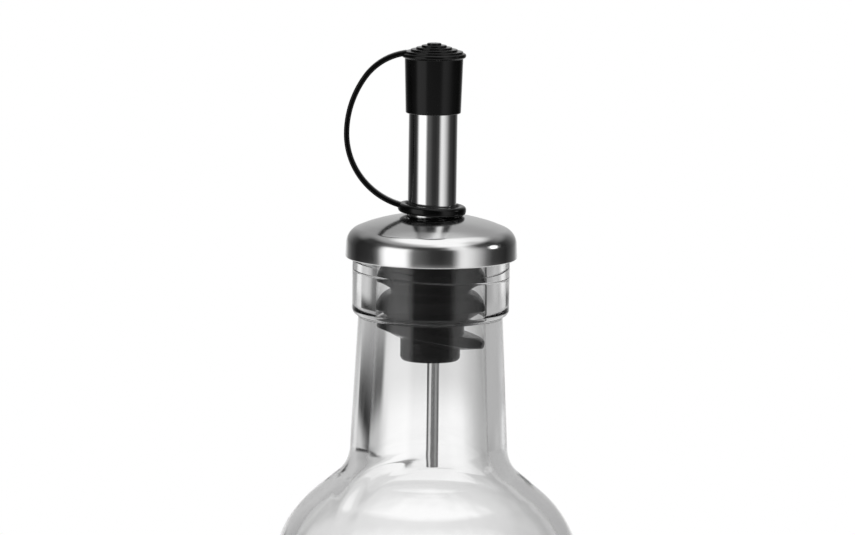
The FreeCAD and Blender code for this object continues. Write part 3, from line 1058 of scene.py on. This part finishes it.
BRIGHTEST = 2.0
FRONT = {
    -135: 0.07, -120: 0.02, -86: 0.03, -77: 0.15, -71: 0.8, -65: 1.3, -35: 1.3, -30: 0.6,
    -25: 0.15, 0: 0.04, 14: 0.03, 28: 0.06, 34: 0.4, 40: 0.92, 47: 1.0, 57: 0.82, 68: 0.5,
    80: 0.16, 90: 0.05, 120: 0.02, 135: 0.07,
}
STUDIO = (
    Ring(-90.0, -90.0, {
        -180: 0.96, -169: 0.92, -160: 0.6, -149: 0.22, **FRONT,
        149: 0.2, 160: 0.56, 169: 0.9, 180: 0.96}),
    Ring(-5.0, 0.0, {
        -180: 0.6, -165: 0.35, -150: 0.2, **FRONT, 150: 0.18, 165: 0.42, 180: 0.6}),
    Ring(20.0, 33.0, {
        -180: 0.36, -150: 0.32, -135: 0.24, -118: 0.05, -95: 0.04, -60: 0.18, -35: 0.1,
        -20: 0.04, 10: 0.05, 22: 0.2, 32: 0.85, 50: 1.05, 62: 0.5, 75: 0.08, 105: 0.03,
        125: 0.2, 150: 0.36, 180: 0.4}),
    Ring(40.0, 54.0, {
        -180: 0.36, -165: 0.6, -140: 0.45, -60: 0.4, -30: 0.5, 0: 0.75, 15: 1.2, 60: 1.2,
        76: 0.8, 92: 0.6, 115: 0.95, 155: 1.0, 180: 0.45}),
    Ring(55.0, 68.0, {-180: 1.18, 180: 1.18}),
)
THROUGH_FRONT = {
    -102: 0.1, -87: 0.2, -70: 0.8, -38: 0.9, -30: 0.2, 0: 0.18, 35: 0.2, 45: 0.4, 70: 0.3,
    100: 0.2, 109: 0.03, 118: 0.03,
}
BACKDROP = (
    Ring(-90.0, -90.0, {-180: 0.8, 180: 0.8}),
    Ring(-46.0, -36.0, {
        -180: 0.2, -150: 0.25, -120: 0.6, 0: 0.6, 120: 0.6, 150: 0.4, 180: 0.2}),
    Ring(-23.0, -18.0, {
        -180: 1.02, -170: 0.96, -161: 0.62, -145: 0.6, -135: 0.47, -125: 0.2,
        **THROUGH_FRONT, 121: 0.34, 135: 0.42, 145: 0.5, 160: 0.48, 166: 0.62, 172: 0.88,
        175: 1.0, 180: 1.02}),
    Ring(-9.5, -6.5, {
        -180: 0.78, -166: 0.8, -162: 0.12, -150: 0.03, -136: 0.03, -125: 0.06,
        **THROUGH_FRONT, 121: 0.46, 145: 0.47, 160: 0.46, 166: 0.56, 172: 0.64, 180: 0.78}),
    Ring(-6.0, 0.0, {
        -180: 0.64, -160: 0.62, -152: 0.5, -135: 0.4, -120: 0.38, **THROUGH_FRONT,
        121: 0.45, 155: 0.5, 168: 0.53, 180: 0.64}),
    Ring(20.0, 60.0, {-180: 0.55, -40: 0.55, -10: 0.5, 180: 0.55}),
)


@dataclass
class Studio:
    """The white studio: surroundings, floor and camera.

    Attributes:
        distance: Distance of the camera from its aim, in metres.
        elevation: Elevation of the camera in degrees.
        aim_height: Height of its aim over the mouth, in millimetres.
        aim_side: Place of its aim along +X, in millimetres.
        roll: Lean of the camera in degrees.
        sensor: Width of its sensor, in millimetres, as is its lens.
        rings: What metal and plastic reflect, from the lowest ring up.
        backdrop: What is seen through the glass, from the lowest ring up.
        lamp: The lamp that leaves small bright marks on metal and plastic.
        below: Brightness of the ground in reflections.
        below_fade: Elevations between which the rings give way to the ground.
        floor_radius: Radius of the floor, in metres.
        floor_fade: Shares of that radius between which the floor fades out.
        floor_sink: How far under the base the floor lies, in metres.
        floor_tone: Brightness of the floor.
    """

    distance: float = 0.863
    elevation: float = 8.4
    aim_height: float = -6.15
    aim_side: float = -0.72
    roll: float = 0.8
    sensor: float = 36.0
    lens: float = 182.74
    rings: tuple[Ring, ...] = STUDIO
    backdrop: tuple[Ring, ...] = BACKDROP
    lamp: Lamp = Lamp(96.0, 17.0, 7.0, 2.0)
    below: float = 0.8
    below_fade: tuple[float, float] = (-14.0, -30.0)
    floor_radius: float = 0.4
    floor_sides: int = 96
    floor_fade: tuple[float, float] = (0.35, 0.98)
    floor_sink: float = 0.0003
    floor_tone: float = 0.86

    @staticmethod
    def light_of(nodes: Nodes, ring: Ring, turn: Field) -> Field:
        """Give the brightness of a ring by azimuth, where turn is 0 to 1 with a half in front."""
        stops = [(azimuth / 360.0 + 0.5, brightness / BRIGHTEST)
                 for azimuth, brightness in ring.lights.items()]
        return nodes.number("ShaderNodeValToRGB", {"stops": stops}, {"Fac": turn}) * BRIGHTEST

    @classmethod
    def surround(cls, nodes: Nodes, rings: tuple[Ring, ...], turn: Field, lift: Field) -> Field:
        """Blend rings of light by elevation into the brightness of every direction.

        Args:
            nodes: The world's node tree.
            rings: The rings from the lowest to the highest.
            turn: Azimuth of the direction, from 0 to 1 with the front at a half.
            lift: Its elevation in degrees.

        Returns:
            The brightness.
        """
        light = cls.light_of(nodes, rings[0], turn)
        for ring in rings[1:]:
            share = lift.ramp(ring.fade_from, ring.fade_to)
            light = light * (1 - share) + cls.light_of(nodes, ring, turn) * share
        return light

    def glow(self, x: Field, y: Field, z: Field) -> Field:
        """Give the lamp's share of a direction, which is given by its three sides."""
        azimuth, elevation = math.radians(self.lamp.azimuth), math.radians(self.lamp.elevation)
        towards = (x * (math.sin(azimuth) * math.cos(elevation))
                   + y * (-math.cos(azimuth) * math.cos(elevation)) + z * math.sin(elevation))
        edge = math.cos(math.radians(self.lamp.width))
        return towards.ramp(*(edge + change for change in self.lamp.fade))

    def build_world(self) -> None:
        """Light the object from all round, and show the white backdrop round and through it."""
        world = bpy.data.worlds.new("studio")
        bpy.context.scene.world = world
        world.use_nodes = True
        nodes = Nodes(world.node_tree)
        direction = nodes.add("ShaderNodeTexCoord").outputs["Generated"]
        x, y, z = nodes.axes(direction)
        turn = x.bearing(0.0 - y) / (2 * math.pi) + 0.5
        lift = z.arcsine() * (180.0 / math.pi)
        glow = self.glow(x, y, z)
        light = self.surround(nodes, self.rings, turn, lift)
        light = light * (1 - glow) + glow * self.lamp.brightness
        ground = lift.ramp(*self.below_fade)
        light = light * (1 - ground) + ground * self.below
        behind = self.surround(nodes, self.backdrop, turn, lift)
        rays = nodes.add("ShaderNodeLightPath")
        camera = Field(nodes, rays.outputs["Is Camera Ray"])
        through = Field(nodes, rays.outputs["Is Transmission Ray"])
        shown = (light * (1 - through) + behind * through) * (1 - camera) + camera
        background = nodes.add("ShaderNodeBackground", inputs={"Color": shown, "Strength": 1.0})
        nodes.add("ShaderNodeOutputWorld", inputs={"Surface": background.outputs[0]})

    def build_floor(self) -> None:
        """Lay a pale round floor that fades out towards its edge."""
        bpy.ops.object.select_all(action="DESELECT")
        bpy.ops.mesh.primitive_circle_add(vertices=self.floor_sides, radius=self.floor_radius,
                                          fill_type="NGON", location=(0.0, 0.0, -self.floor_sink))
        floor = bpy.context.active_object
        floor.name = "floor"
        material = new_material("pale_floor")
        nodes = Nodes(material.node_tree)
        x, y, _ = nodes.axes(nodes.place())
        reach = (x * x + y * y).root()
        fade = reach.ramp(*(self.floor_radius * share for share in self.floor_fade))
        cover = nodes.add("ShaderNodeBsdfDiffuse",
                          inputs={"Color": (*(self.floor_tone,) * 3, 1.0)})
        clear = nodes.add("ShaderNodeBsdfTransparent")
        mixed = nodes.add("ShaderNodeMixShader", inputs={0: fade, 1: cover.outputs[0],
                                                         2: clear.outputs[0]})
        nodes.add("ShaderNodeOutputMaterial", inputs={"Surface": mixed.outputs[0]})
        dress(floor, material)

    def build_camera(self, level: float) -> None:
        """Set the camera in front of the pourer, a little above it and leaning slightly.

        Args:
            level: Height of the mouth in the frame, in metres.
        """
        data = bpy.data.cameras.new("camera")
        data.sensor_width = self.sensor
        data.lens = self.lens
        camera = bpy.data.objects.new("camera", data)
        bpy.context.scene.collection.objects.link(camera)
        tilt = math.radians(self.elevation)
        aim = Vector((self.aim_side * MM, 0.0, level + self.aim_height * MM))
        back = Vector((0.0, -math.cos(tilt), math.sin(tilt)))
        camera.location = aim + back * self.distance
        facing = Euler((math.pi / 2 - tilt, 0.0, 0.0)).to_matrix().to_4x4()
        leaning = Matrix.Rotation(math.radians(self.roll), 4, "Z")
        camera.rotation_euler = (facing @ leaning).to_euler()
        bpy.context.scene.camera = camera

    def build(self, level: float) -> None:
        """Build the studio round the object."""
        scene = bpy.context.scene
        scene.view_settings.view_transform = "Standard"
        self.build_world()
        self.build_floor()
        self.build_camera(level)


def main() -> None:
    """Build the object and the studio."""
    logging.basicConfig(level=logging.INFO, format="%(name)s %(message)s")
    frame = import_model()
    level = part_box("bottle")[1].z
    GlassBottle().build(level)
    SteelPourer().build(level, frame["nodes"]["air_tube"])
    Stopper().build(level)
    PourCap().build(level)
    Studio().build(level)


if __name__ == "__main__":
    main()
